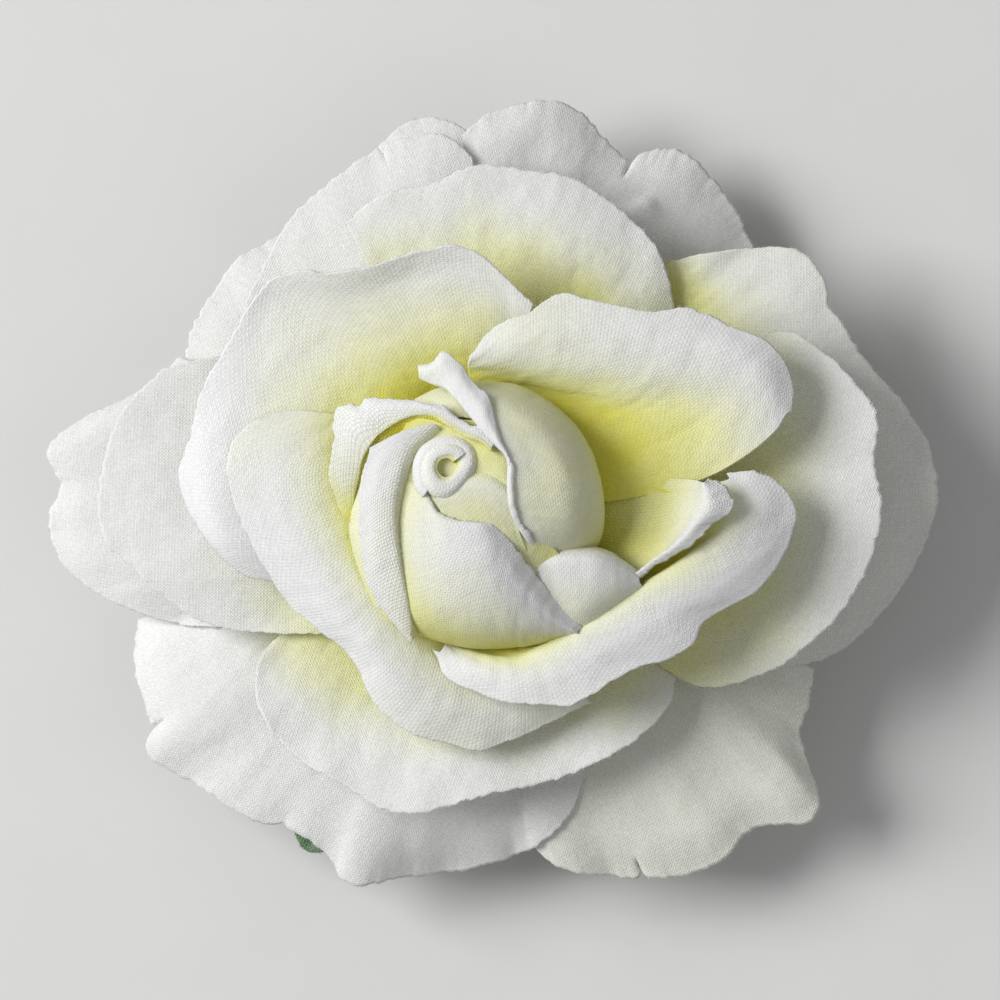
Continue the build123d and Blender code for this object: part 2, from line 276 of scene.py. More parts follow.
def weave_height(tree, uv, pitch):
    """Height of a plain weave of that pitch, 0..1, over a UV map in millimetres."""
    split = add(tree, "ShaderNodeSeparateXYZ")
    tree.links.new(uv, split.inputs[0])
    waves = []
    for axis in (0, 1):
        angle = math_node(tree, "MULTIPLY", split.outputs[axis], math.pi / pitch)
        waves.append(math_node(tree, "SINE", angle))
    over = math_node(tree, "MULTIPLY", *waves)
    warp, weft = (math_node(tree, "ABSOLUTE", wave) for wave in waves)
    body = math_node(tree, "MINIMUM", warp, weft)
    return math_node(tree, "MULTIPLY_ADD", over, 0.3, math_node(tree, "MULTIPLY", body, 0.7))


def dyed_colour(tree):
    """The petal's colour for its tint, made a little uneven."""
    blotch = noise_node(tree, object_place(tree), 260.0, 3.0)
    uneven = math_node(tree, "MULTIPLY_ADD", blotch, 0.5, 0.75)
    dye = math_node(tree, "MULTIPLY", tint_value(tree), uneven, clamp=True)
    ramp = add(tree, "ShaderNodeValToRGB")
    stops = ramp.color_ramp.elements
    stops[0].color = (*DYE_STOPS[0][1], 1)
    stops[1].color = (*DYE_STOPS[-1][1], 1)
    for position, colour in DYE_STOPS[1:-1]:
        stops.new(position).color = (*colour, 1)
    tree.links.new(dye, ramp.inputs[0])
    return ramp.outputs[0]


def cloth_material(name, weave, pitch, slub=0.3):
    """White woven cloth dyed yellow-green where a petal's tint is high. weave is how far the
    threads stand out, pitch is their spacing and slub is how uneven they are in brightness."""
    m, t = new_material(name)
    uv = cloth_place(t)
    height = weave_height(t, uv, pitch)
    fibre = noise_node(t, uv, 5.0, 3.0, 0.6, stretch=(1.0, 0.35, 1.0))
    crepe = noise_node(t, uv, 1.1, 4.0, 0.62)
    raised = math_node(t, "SUBTRACT", height, 0.35)
    grain = math_node(t, "MULTIPLY_ADD", raised, 0.20 * weave, 0.975)
    grain = math_node(t, "MULTIPLY_ADD", math_node(t, "SUBTRACT", fibre, 0.5), slub, grain)
    grey = add(t, "ShaderNodeCombineColor")
    for socket in grey.inputs:
        t.links.new(grain, socket)
    base = mix_colour(t, 1.0, dyed_colour(t), grey.outputs[0], "MULTIPLY")
    total = math_node(t, "MULTIPLY_ADD", fibre, 0.5, math_node(t, "MULTIPLY", height, weave))
    total = math_node(t, "MULTIPLY_ADD", crepe, 1.1, total)
    bump = bump_node(t, total, 0.55, CLOTH_BUMP_DEPTH)
    skin = skin_node(t, base, bump, in_Roughness=0.78, in_Specular_IOR_Level=0.22,
                     in_Sheen_Weight=0.25, in_Sheen_Roughness=0.5)
    through = add(t, "ShaderNodeBsdfTranslucent")
    t.links.new(base, through.inputs["Color"])
    t.links.new(bump, through.inputs["Normal"])
    both = add(t, "ShaderNodeMixShader", in_Fac=CLOTH_TRANSLUCENCE)
    t.links.new(skin.outputs[0], both.inputs[1])
    t.links.new(through.outputs[0], both.inputs[2])
    finish_material(t, both)
    return m


def leaf_material():
    """Crinkled green cloth with paler veins."""
    m, t = new_material("leaf cloth")
    uv = cloth_place(t)
    blotch = noise_node(t, uv, 0.25, 4.0)
    base = mix_colour(t, blotch, (0.075, 0.16, 0.075), (0.15, 0.27, 0.13))
    vein = math_node(t, "MULTIPLY", tint_value(t), 0.6)
    base = mix_colour(t, vein, base, (0.22, 0.36, 0.19))
    crinkle = noise_node(t, uv, 1.4, 4.0, 0.65)
    total = math_node(t, "MULTIPLY_ADD", crinkle, 1.6, weave_height(t, uv, 0.36))
    bump = bump_node(t, total, 0.8, 0.00025)
    finish_material(t, skin_node(t, base, bump, in_Roughness=0.7, in_Sheen_Weight=0.2))
    return m


def plain_material(name, colour, rough, bump_scale, bump_depth, variation=0.12, metal=0.0,
                   stretch=None, sheen=0.0):
    """Moulded, felted or metal finish with noise in its colour, roughness and surface."""
    m, t = new_material(name)
    place = object_place(t)
    grain = noise_node(t, place, bump_scale, 4.0, 0.6, stretch)
    broad = noise_node(t, place, bump_scale * 0.12, 3.0)
    light = [min(1.0, c * (1 + variation)) for c in colour]
    dark = [c * (1 - variation) for c in colour]
    worn = [c * 0.82 for c in colour]
    base = mix_colour(t, broad, dark, light)
    base = mix_colour(t, math_node(t, "MULTIPLY", grain, 0.5), base, worn)
    bump = bump_node(t, grain, 0.6, bump_depth)
    skin = skin_node(t, base, bump, in_Metallic=metal, in_Sheen_Weight=sheen)
    level = math_node(t, "MULTIPLY_ADD", grain, 0.18, rough - 0.09, clamp=True)
    t.links.new(level, skin.inputs["Roughness"])
    finish_material(t, skin)
    return m


def paper_material():
    """Plain pale paper for the floor."""
    m, t = new_material("paper floor")
    grain = noise_node(t, object_place(t), 60.0, 4.0)
    base = mix_colour(t, grain, (0.60, 0.60, 0.59), (0.63, 0.63, 0.62))
    finish_material(t, skin_node(t, base, in_Roughness=0.9))
    return m


PETAL = cloth_material("petal cloth", 0.6, 0.28)
PETAL_OUTER = cloth_material("outer petal cloth", 0.75, 0.28, 0.45)
PETAL_OPEN = cloth_material("open weave petal cloth", 1.1, 0.32)
LEAF = leaf_material()


# ---- Cloth pieces ----

THREAD_RADII = (0.04, 0.032)  # at a loose thread's root and further along
THREAD_BURY = 0.12            # how far its root sits inside the cloth
SIDE_FRAY_FROM = 0.45         # share of a side, from the root, that stays clean
CORNERS = [k * 2 * math.pi / 3 for k in range(3)]


def fray(grid, tint, rng, density, length):
    """Loose thread ends along the sheet's last row, each a thin closed spike."""
    rim = grid[:, -1]
    run = run_along(rim)
    out = unit(rim - grid[:, -3])
    side = unit(np.gradient(rim, axis=0))
    places = np.sort(rng.rand(int(run[-1] * density))) * run[-1]
    points, faces, tints = [], [], []
    for place in places:
        i = min(int(np.searchsorted(run, place)), len(rim) - 1)
        lean = rng.randn() * 0.75
        long = length * (0.25 + rng.rand() ** 2)
        direction = unit(out[i] + side[i] * lean + np.array([0, 0, rng.randn() * 0.35]))
        root = np.array([np.interp(place, run, rim[:, k]) for k in range(3)])
        root -= out[i] * THREAD_BURY
        middle = root + direction * long * 0.6 + side[i] * rng.randn() * 0.06
        up = np.cross(direction, side[i])
        n = len(points)
        for centre, radius in zip((root, middle), THREAD_RADII):
            points += [centre + radius * (side[i] * math.cos(k) + up * math.sin(k))
                       for k in CORNERS]
        points.append(root + direction * long)
        faces.append((n + 2, n + 1, n))
        for j, k in ((0, 1), (1, 2), (2, 0)):
            faces += [(n + j, n + k, n + 3 + k, n + 3 + j), (n + 3 + j, n + 3 + k, n + 6)]
        tints += [tint[i, -1]] * 7
    return points, faces, tints


def fray_all(grid, tint, rng, fringe, sides):
    """Loose ends along the rim and, if wanted, the outer parts of both sides."""
    edges = [(grid, tint)]
    if sides:
        keep = int(grid.shape[1] * SIDE_FRAY_FROM)
        edges.append((grid[::-1, keep:].transpose(1, 0, 2), tint[::-1, keep:].T))
        edges.append((grid[:, keep:].transpose(1, 0, 2), tint[:, keep:].T))
    points, faces, tints = [], [], []
    for edge, dye in edges:
        p, f, d = fray(edge, dye, rng, *fringe)
        faces += [[k + len(points) for k in face] for face in f]
        points += p
        tints += d
    return points, faces, tints


def solid_sheet(grid, thick):
    """Points and faces of the sheet's two sides and of the wall round its edge."""
    across, along = grid.shape[:2]
    count = across * along
    index = np.arange(count).reshape(across, along)
    top = np.stack([index[:-1, :-1], index[1:, :-1], index[1:, 1:], index[:-1, 1:]], 2)
    top = top.reshape(-1, 4)
    half = normals(grid) * thick / 2
    points = np.concatenate([(grid + half).reshape(-1, 3), (grid - half).reshape(-1, 3)])
    edge = np.concatenate([index[:, 0], index[-1, 1:], index[-2::-1, -1], index[0, -2:0:-1]])
    after = np.roll(edge, -1)
    wall = np.stack([edge + count, after + count, after, edge], 1)
    return points, np.concatenate([top, top[:, ::-1] + count, wall]).tolist()


def sheet(name, grid, tint, material, node, uv, seed, thick=0.3, fringe=(5.0, 0.5),
          side_fringe=True):
    """Makes a cloth piece from a grid of points, with its dye and its loose threads. fringe
    is how many threads there are to a millimetre, and how long they are."""
    points, faces = solid_sheet(grid, thick)
    places = [uv.reshape(-1, 2)] * 2
    dye = [tint.ravel()] * 2
    if fringe[0] > 0:
        rng = np.random.RandomState(seed)
        ends, end_faces, end_dye = fray_all(grid, tint, rng, fringe, side_fringe)
        faces += [[k + len(points) for k in face] for face in end_faces]
        points = np.concatenate([points, ends])
        places.append(np.array(ends)[:, :2])
        dye.append(end_dye)
    mesh = bpy.data.meshes.new(name)
    mesh.from_pydata((points * MM).tolist(), [], faces)
    layer = mesh.uv_layers.new(name="cloth")
    loops = np.zeros(len(mesh.loops), int)
    mesh.loops.foreach_get("vertex_index", loops)
    layer.data.foreach_set("uv", np.concatenate(places)[loops].astype(np.float32).ravel())
    attribute = mesh.attributes.new("tint", "FLOAT", "POINT")
    attribute.data.foreach_set("value", np.concatenate(dye).astype(np.float32))
    mesh.polygons.foreach_set("use_smooth", [True] * len(mesh.polygons))
    mesh.materials.append(material)
    o = bpy.data.objects.new(name, mesh)
    bpy.context.scene.collection.objects.link(o)
    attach(o, "flower")
    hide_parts(node)


class Pile:
    """Heights of the cloth already laid, so that the next petal rests on it."""
    cell = 0.5          # size of a square of the height map
    reach = 64.0        # the map runs from -reach to reach both ways
    gap = 0.45          # between the middles of two sheets that touch
    smoothing = 14      # passes that round off a lifted part

    def __init__(self):
        self.count = int(2 * self.reach / self.cell)
        self.height = np.full((self.count, self.count), -1e3)

    def squares(self, grid, margin):
        place = ((grid[..., :2] + self.reach) / self.cell).astype(int)
        place = np.clip(place, margin, self.count - 1 - margin)
        return place[..., 0], place[..., 1]

    def lay(self, grid):
        fine = halfway(halfway(grid, 0), 1)
        i, j = self.squares(fine, 1)
        for di in (-1, 0, 1):
            for dj in (-1, 0, 1):
                np.maximum.at(self.height, (i + di, j + dj), fine[..., 2])

    def rest(self, grid):
        """Lifts a sheet clear of what lies under it, smoothly."""
        floor = self.height[self.squares(grid, 0)] + self.gap
        lift = np.maximum(floor - grid[..., 2], 0)
        raised = lift
        for _ in range(self.smoothing):
            pad = np.pad(raised, 1, mode="edge")
            blur = (pad[:-2, 1:-1] + pad[2:, 1:-1] + pad[1:-1, :-2] + pad[1:-1, 2:]) / 4
            raised = np.maximum(lift, blur)
        out = grid.copy()
        out[..., 2] += raised
        return out


pile = Pile()


def root_arc(bearing, half, r, z, count=5):
    """Points of an arc of radius r round the peg, half degrees either side of a bearing."""
    a = np.radians(bearing + np.linspace(-half, half, count))
    return [(r * math.cos(k), r * math.sin(k), z) for k in a]


def turned(xy, angle):
    """Distances along and across the direction at that angle, for points (x, y)."""
    x, y = xy[..., 0], xy[..., 1]
    return (x * math.cos(angle) + y * math.sin(angle), -x * math.sin(angle) + y * math.cos(angle))


def from_root(root, line, V):
    """Places (x, y) between a root arc and a rim line, V of the way out."""
    return root[:, None, :2] * (1 - V[..., None]) + line[:, None, :] * V[..., None]


def petal_heights(root_z, belly, edge, shoulder, across, along):
    """Heights of an open petal: up from its root to its belly, and on to its edge."""
    u, v = np.linspace(0, 1, across), np.linspace(0, 1, along)
    z = np.zeros((across, along))
    knots = [0, 0.14, 0.6, 0.86, 1]
    for i, (b, e) in enumerate(zip(spread(belly, u), spread(edge, u))):
        heights = [root_z, root_z + 0.2, b, b + (e - b) * shoulder, e]
        fine = curve(list(zip(knots, heights)), 80)
        z[i] = np.interp(v, fine[:, 0], fine[:, 1])
    return z


def open_petal(name, rim, root_z, belly, edge, shoulder, tint, undertone=0.015, ripple=0.5,
               frill=0.2, seed=1, notches=()):
    """A petal of the open layers. rim is its (x, y) outline; belly and edge are its heights
    at evenly spaced places across, part of the way out and at the rim, and shoulder is how
    soon one turns into the other. tint is the distances from the axis where the dye is full
    and where it ends, and its strength; undertone is the dye everywhere. Each notch in the
    rim is its place (x, y), its depth and its width."""
    across, along = 190, 110
    line = curve(rim, across)
    middle = line[across // 2]
    bearing = math.degrees(math.atan2(middle[1], middle[0]))
    turn = np.sign(line[0][0] * line[-1][1] - line[0][1] * line[-1][0])
    root = np.array(root_arc(bearing, 26 * turn, 3.4, root_z, across))
    U, V = unit_grid(across, along)
    # The cut edge is ragged, with its notches.
    run = run_along(line)
    pull = 0.16 * noise(run * 1.3, run * 0, seed) + 0.10 * noise(run * 3.1, run * 0, seed + 5)
    for x, y, deep, wide in notches:
        centre = run[np.argmin(np.linalg.norm(line - np.array([x, y]), axis=1))]
        pull -= deep * np.exp(-((run - centre) / wide) ** 2)
    xy = from_root(root, line, V)
    xy += unit(line)[:, None, :] * (pull[:, None] * smoothstep(0.93, 1.0, V))[..., None]
    # Ripples, a frill at the rim, crumples, fine ribs near the root and crepe.
    length = U * run[-1]
    z = petal_heights(root_z, belly, edge, shoulder, across, along)
    z += ripple * smoothstep(0.35, 1.0, V) * noise(length / 13 + seed, V * 1.5, seed + 2)
    z += frill * smoothstep(0.8, 1.0, V) * noise(length / 5.5 + seed, V * 3, seed + 3)
    z += 0.1925 * smoothstep(0.15, 0.6, V) * fractal(length / 7 + seed, V * 3.5, seed + 4)
    near_root = smoothstep(0.1, 0.4, V) * (1 - smoothstep(0.55, 0.8, V))
    z += 0.05 * near_root * noise(length / 1.8, V * 3 + 3, seed + 6)
    crepe = fractal(xy[..., 0] / 1.9 + 9, xy[..., 1] / 1.9, seed + 7)
    z += 0.05 * crepe * smoothstep(0.1, 0.5, V)
    grid = pile.rest(np.concatenate([xy, z[..., None]], 2))
    pile.lay(grid)
    full, none, amount = tint
    r = np.linalg.norm(xy, axis=2) + 1.6 * noise(xy[..., 0] / 6, xy[..., 1] / 6, seed)
    dye = undertone + amount * (1 - smoothstep(full, none, r))
    uv = np.stack(turned(xy, math.radians(bearing + 35)), 2)
    sheet(name + "_cloth", grid, dye, PETAL_OUTER, name, uv, seed)


def shaped(name, rows, tint_rows, node=None, material=PETAL, across=150, along=110,
           crumple=0.12, ribs=0.05, seed=1, fringe=(5.0, 0.45), ragged=0.12, rib_size=0.9,
           rib_from=0.3, thick=0.28, side_fringe=True, tint_across=(0, 0), rib_across=(1, 1)):
    """A petal given as rows of points from its root to its rim, with a dye value per row.
    tint_across adds dye and rib_across weights the ribs, from its first side to its last."""
    dye_scale = 8  # the dye is lofted as a fourth coordinate, in steps like those of length
    dyed = [[(*point, dye_scale * dye) for point in row] for row, dye in zip(rows, tint_rows)]
    surface = loft(dyed, across, along)
    grid, tint = surface[..., :3], surface[..., 3] / dye_scale
    u = np.linspace(0, 1, across)
    U, V = unit_grid(across, along)
    uv = cloth_uv(grid)
    width, height = U * uv[-1, 0, 0], V * uv[0, -1, 1]
    push = crumple * fractal(width / 6 + seed, height / 6, seed + 4)
    rib = noise(width / rib_size, height / 9, seed + 6) * smoothstep(rib_from, rib_from + 0.3, V)
    push += straight(rib_across, u) * ribs * rib
    push += 0.2 * noise(width / 3.5, V * 0, seed + 11) * smoothstep(0.84, 1, V)
    crepe = fractal(width / 1.8 + 5, height / 1.8, seed + 7)
    push += 0.035 * crepe * smoothstep(0.2, 0.5, V)
    grid = grid + normals(grid) * push[..., None]
    rim = width[:, -1]
    out = unit(grid[:, -1] - grid[:, -4])
    jag = noise(rim * 1.4, rim * 0, seed) + 0.7 * noise(rim * 3.3, rim * 0, seed + 9)
    jag = ragged * jag[:, None]
    grid[:, -1] += out * jag
    grid[:, -2] += out * jag * 0.5
    tint = tint + straight(tint_across, u)
    tint = np.clip(tint + 0.05 * noise(width / 5, height / 5, seed + 8), 0, 1)
    sheet(name + "_cloth", grid, tint, material, node or name, uv, seed, thick=thick,
          fringe=fringe, side_fringe=side_fringe)


# ---- Leaves ----

LEAF_OUTLINE = (
    (13, -7), (20, -10.5), (28, -11.6), (38, -9), (45, -4.5), (48.9, 0), (45.5, 4.2), (38, 8.6),
    (28, 11.4), (20, 10.2), (13, 7),
)
LEAF_Z = 13.7


def leaf(name, bearing, reach, seed):
    """A pointed leaf with sunken veins, which droops towards its tip."""
    across, along = 120, 70
    a = math.radians(bearing)
    cos, sin = reach * math.cos(a), reach * math.sin(a)
    rim = [(x * cos - y * sin, x * sin + y * cos) for x, y in LEAF_OUTLINE]
    U, V = unit_grid(across, along)
    root = np.array(root_arc(bearing, 24, 3.6, LEAF_Z, across))
    xy = from_root(root, curve(rim, across), V)
    out, side = turned(xy, a)
    z = LEAF_Z + 0.4 * smoothstep(5, 20, out) - 2.2 * smoothstep(25, 50, out)
    z -= 0.5 * np.exp(-(side / 0.8) ** 2)
    branch = np.abs(((out - np.abs(side) * 0.9) / 5.0) % 1 - 0.5) * 2
    vein = np.clip(1 - branch * 5, 0, 1) * smoothstep(0.5, 2, np.abs(side))
    vein = np.maximum(vein, np.exp(-(side / 0.5) ** 2))
    z -= 0.18 * vein
    z += 0.22 * fractal(xy[..., 0] / 3, xy[..., 1] / 3, seed) * smoothstep(0.2, 0.5, V)
    z += 0.3 * smoothstep(0.8, 1, V) * noise(U * 90 / 4, V, seed + 1)
    grid = np.concatenate([xy, z[..., None]], 2)
    pile.lay(grid)
    sheet(name + "_cloth", grid, vein, LEAF, name, np.stack([out, side], 2), seed)


leaf("leaf_1", 244.4, 1.018, 401)
leaf("leaf_2", 5, 1, 402)
leaf("leaf_3", 110, 0.82, 403)

# ---- Outer layer ----

open_petal(
    "outer_petal_lower_right",
    [(7, -44.5), (9.8, -46.7), (14.8, -47.7), (19.7, -48.1), (25.8, -47.7), (30.5, -45.8),
     (33, -42.6), (36.9, -41.4), (40.8, -41.3), (42.1, -38.9), (40.9, -34.4), (39.7, -30.1),
     (40.8, -26.4), (41.3, -22.1)],
    14.4, [17.4, 17.4, 17, 17, 17.4], [14.4, 13.2, 11.8, 12, 14.4], 0.42, (14, 38, 0.3),
    undertone=0.09, ripple=1.2, frill=0.6, seed=21, notches=[(20.4, -48.1, 1.5, 0.25)])
open_petal(
    "outer_petal_upper_left",
    [(-36.5, 16.4), (-35.7, 19.7), (-32.6, 25.2), (-29.5, 28.9), (-26.4, 30.6), (-19.7, 35.7),
     (-14.8, 40), (-9.2, 45.4), (-5.3, 46.1), (-1.5, 44.5)],
    14.4, [17.5, 18, 18, 18, 17.5], [15.5, 16, 16, 16, 16], 0.45, (10, 30, 0.3), seed=22)
open_petal(
    "outer_petal_lower_left",
    [(-42.4, -16), (-42.9, -20.9), (-42, -25), (-40.8, -28.5), (-41.2, -32.4), (-34.4, -36.9),
     (-28.3, -40.8), (-23.4, -42), (-18.7, -45.5), (-16.6, -48.7), (-9.8, -48.1),
     (-1.2, -47), (6.2, -44.5), (11.1, -40), (13.3, -34.2)],
    15.2, [17, 18.8, 19, 17.8, 17], [13, 15.2, 14.4, 11, 9.8], 0.42, (24, 38, 0.3),
    ripple=1.3, frill=0.7, seed=23, notches=[(-42.2, -29.6, 1.6, 0.5), (-24.5, -41.8, 0.5, 0.6)])
open_petal(
    "outer_petal_upper_right",
    [(-2.1, 43.7), (0.2, 45.9), (4.3, 47.5), (8.4, 48.1), (12.5, 46.7), (15.6, 43.3),
     (18.8, 41), (20.3, 41.9), (24.6, 42.3), (29, 38.6), (32.2, 34.2), (34.1, 29.9)],
    15.2, [21, 19.4, 17, 14.6, 13], [19, 16.4, 12.8, 10, 8.6], 0.45, (14, 36, 0.35),
    ripple=1.2, frill=0.5, seed=24, notches=[(18.8, 40.8, 1.6, 0.35)])
open_petal(
    "outer_petal_left",
    [(-36.9, 16.4), (-43, 11.7), (-49.8, 8.4), (-53.5, 4.7), (-51.9, 0.7), (-53.3, -3.7),
     (-52, -8.6), (-47.7, -12.5), (-42.4, -15), (-36.9, -16.6), (-32.6, -17)],
    16, [18.5, 19.5, 20, 19.5, 18.5], [17, 17.6, 17.4, 17.6, 17], 0.35, (12, 32, 0.3),
    ripple=0.9, frill=0.6, seed=25)
open_petal(
    "outer_petal_right",
    [(22.8, 28), (28.3, 29.3), (34.4, 29.9), (39.4, 29.5), (42.1, 26.8), (44, 21.9),
     (48, 15.7), (52.3, 10.8), (55.1, 6.2), (56.7, -0.2), (55.6, -5.5), (51.7, -12.5),
     (46.1, -18.7), (41.2, -21.3), (36.9, -21.9)],
    16, [19, 20, 20, 19.4, 18.5], [20, 18.6, 16.4, 15.2, 15.6], 0.45, (33, 43, 0.55),
    undertone=0.05, ripple=0.7, frill=0.4, seed=26, notches=[(43.5, 23, 0.7, 1.2)])

# ---- Middle layer ----

open_petal(
    "middle_petal_upper_left",
    [(-29.8, 17.8), (-29.2, 22.1), (-26.8, 27.1), (-23.7, 33), (-17.8, 38.4), (-12.9, 41.9),
     (-9.8, 43.1), (-6.2, 43.9), (-3.1, 43.1), (-0.9, 40.8)],
    17.6, [22, 22.5, 22.8, 22.5, 22], [22, 22, 22, 21.5, 21], 0.5, (10, 30, 0.4),
    ripple=0.7, seed=31, notches=[(-12, 42.2, 1.3, 0.35)])
open_petal(
    "middle_petal_bottom",
    [(-24.5, -17.6), (-26.8, -20.3), (-27.6, -24.6), (-26.1, -28.9), (-22.1, -33.2),
     (-16.6, -36.3), (-11.7, -39.1), (-8.6, -39.7), (1.2, -37.3), (9.8, -35.4), (16, -32.6),
     (20.9, -29.3), (23.6, -25.8), (24, -22.8)],
    17.6, [21.5, 22.4, 23, 22.8, 22.2], [23, 25, 25.8, 24.4, 22], 0.6, (25, 36, 0.5),
    ripple=1, frill=0.5, seed=32)
open_petal(
    "middle_petal_top",
    [(-16.6, 33), (-11.7, 36.3), (-6.2, 37.5), (-0.2, 39.9), (4.9, 39.4), (11.7, 38.1),
     (16.9, 34.8), (21.2, 30.4), (23.1, 26.4), (24.1, 21.5)],
    18.4, [23.5, 24, 24, 23.6, 23], [24, 24.4, 24, 22.6, 21], 0.5, (22, 37, 0.62),
    ripple=0.7, seed=33)
open_petal(
    "middle_petal_right",
    [(33.2, 19.1), (38.1, 19.3), (41.8, 17.2), (46.1, 12.9), (48.6, 9.6), (48.5, 3.4),
     (49.2, -1.5), (48.5, -6.8), (46.1, -12.5), (42.1, -17.5), (36.9, -21.5), (31.7, -23.6),
     (27.1, -24.1), (22.4, -21.9)],
    18.4, [24.5, 25.6, 26, 25, 23.5], [25.4, 25.8, 25.2, 24.2, 22.8], 0.5, (31, 47, 0.45),
    undertone=0.02, ripple=0.6, frill=0.3, seed=34)
open_petal(
    "middle_petal_left",
    [(-31.2, 16.5), (-38.5, 14.9), (-41.5, 12.4), (-44.4, 9), (-45.9, 4.6), (-46.9, -1),
     (-46.6, -4.7), (-45.6, -6.9), (-42.4, -9.5), (-40.5, -11.7), (-37.1, -14.4),
     (-33.5, -16.4), (-25, -17.6), (-18.2, -17.6)],
    19.2, [23.5, 24, 24.4, 24, 23.5], [24.6, 24.8, 24.6, 24.4, 23.6], 0.8, (22, 37, 0.4),
    ripple=0.8, seed=35)

# ---- Inner, cupped layer ----

shaped("inner_petal_upper_left", [
    root_arc(140, -62, 3.4, 20.8, 7),
    [(-10, -9, 28.5), (-13.5, -2, 30), (-13, 6, 31.4), (-8.5, 11.5, 31.4),
     (-2, 13.5, 30), (4.5, 12.8, 29)],
    [(-17.5, -11, 29.8), (-20.5, -4, 31.6), (-20.5, 5, 33), (-15.5, 13, 33.2),
     (-8, 17.4, 32.8), (0.5, 18.6, 32), (5.6, 16.5, 30.4)],
    [(-22, -11.5, 30.2), (-27.2, -6, 32.2), (-28.5, 3, 33.3), (-24.5, 13, 33.6),
     (-17, 20.4, 33.7), (-7.5, 23.4, 33.4), (1, 23.6, 32.9), (6, 19.5, 31.6)],
    [(-24.4, -11.2, 30), (-31.6, -5.6, 32.2), (-33.2, 3, 33.2), (-30, 12.6, 33.6),
     (-24.8, 22.2, 34.2), (-16, 24.2, 34.4), (-7.4, 26.6, 34.2), (0.4, 26.6, 33.7),
     (6.2, 21.4, 32.4)],
    [(-25.2, -10.9, 29.6), (-28, -10.5, 29.6), (-32.4, -6.8, 30.8), (-36.2, -1, 31.4),
     (-36.7, 1.7, 31.8), (-35.4, 6.2, 32.4), (-33.7, 12.4, 33.2), (-31, 17, 33.9),
     (-27.9, 22.6, 34.8), (-25.2, 25.7, 35.4), (-22.1, 26.6, 35.6), (-17, 26.5, 35.6),
     (-10.5, 28.2, 35.6), (-6.2, 29.4, 35.3), (-3.1, 29.7, 35), (-0.4, 28.8, 34.6),
     (3.1, 25.8, 33.7), (6.5, 22.4, 32.6)],
], [1, 0.85, 0.42, 0.13, 0.02, 0], across=260, along=140, crumple=0.14, seed=41,
    ragged=0.16, ribs=0.03, rib_from=0.05, tint_across=(-0.35, -0.12, 0, 0, 0, 0.05))
shaped("inner_petal_lower_left", [
    root_arc(232, 58, 3.4, 21.8, 7),
    [(-12, 7, 32.4), (-13.8, 0, 32.6), (-12.6, -7, 32), (-8.6, -13, 30), (-1.6, -16, 28.6),
     (6, -16.4, 28)],
    [(-15.6, 8.8, 34), (-16.4, 1, 34.3), (-15, -7, 33.8), (-11, -13.4, 32.4),
     (-4.6, -19, 30.6), (2, -21, 29.2), (10, -21, 28)],
    [(-19, 9.4, 34.7), (-19.4, 3, 35), (-18.8, -3, 34.9), (-15.8, -10, 34.4),
     (-10.8, -16.4, 33.4), (-4.8, -22, 31.8), (2.6, -23.6, 30), (11.4, -23, 28.6)],
    [(-22.4, 9.7, 34.9), (-23.2, 3.4, 35.2), (-22.8, -3.4, 35.1), (-18.8, -12, 34.5),
     (-13.2, -19.4, 33.4), (-6.4, -25.4, 31.6), (2.6, -27, 29.6), (12.4, -24.6, 28)],
    [(-23.5, 9.6, 34.9), (-25.9, 8.9, 34.9), (-28.4, 7.5, 34.8), (-29.9, 6, 34.6),
     (-30.7, 2.7, 34.5), (-30.2, -0.5, 34.4), (-29.2, -3.4, 34.2), (-26.4, -8.8, 33.5),
     (-23.1, -14, 32.2), (-18.7, -17.8, 31.8), (-16.6, -19.3, 31.4), (-14.8, -21.9, 31),
     (-13.6, -24.9, 30.4), (-11.3, -27.5, 29.9), (-7.9, -29.8, 29.3), (-4.8, -30.7, 28.7),
     (-0.2, -31.8, 28), (1.8, -31.2, 27.7), (6.2, -29.5, 27.4), (10.7, -27.4, 27.2),
     (13.5, -25.9, 27)],
], [1, 0.95, 0.64, 0.22, 0.03, 0], across=260, along=140, crumple=0.15, seed=42,
    ragged=0.14, tint_across=(0.12, 0, 0, 0.05, 0.15))
shaped("inner_petal_upper_right", [
    root_arc(35, -48, 3.4, 22.4, 7),
    [(-1, 11, 30), (4.5, 10.8, 30.5), (9.5, 8.5, 31), (12.6, 4, 31), (13.4, -1.6, 30.5)],
    [(-1.2, 13.4, 32.6), (5.6, 12.6, 32.2), (13.5, 10.2, 32), (19.5, 6, 32.2),
     (20.5, -0.6, 31.6)],
    [(-1.4, 14.8, 34), (7, 13.4, 33.4), (17, 11.6, 32.8), (26.5, 9, 32.4),
     (29.2, 2.2, 32)],
    [(-1.4, 15.6, 35), (8, 15.6, 34.7), (20, 15, 34.4), (31.6, 13, 33.4),
     (36.2, 7.4, 32.2)],
    [(-1.2, 16.2, 35.3), (8, 18.6, 35.5), (20, 18.4, 35.2), (33.2, 15.4, 33.6),
     (37.4, 9.2, 32.2)],
    [(-0.6, 16.8, 35), (0.5, 18.6, 35), (3.6, 20.7, 35.4), (6.4, 21.8, 35.5),
     (8.1, 23.1, 35.4), (10.1, 23.8, 35.3), (14.9, 22.7, 35), (21.4, 21.7, 34.5),
     (25.2, 22.1, 33.9), (30.6, 19.8, 33), (35.2, 17.8, 32.2), (37.1, 15.6, 31.8),
     (38.3, 11.6, 31.6), (38, 9.6, 31.8)],
], [1, 0.95, 0.78, 0.46, 0.08, 0, 0], across=240, along=150, crumple=0.14, seed=43,
    tint_across=(0.06, 0.1, 0.02, 0, 0))
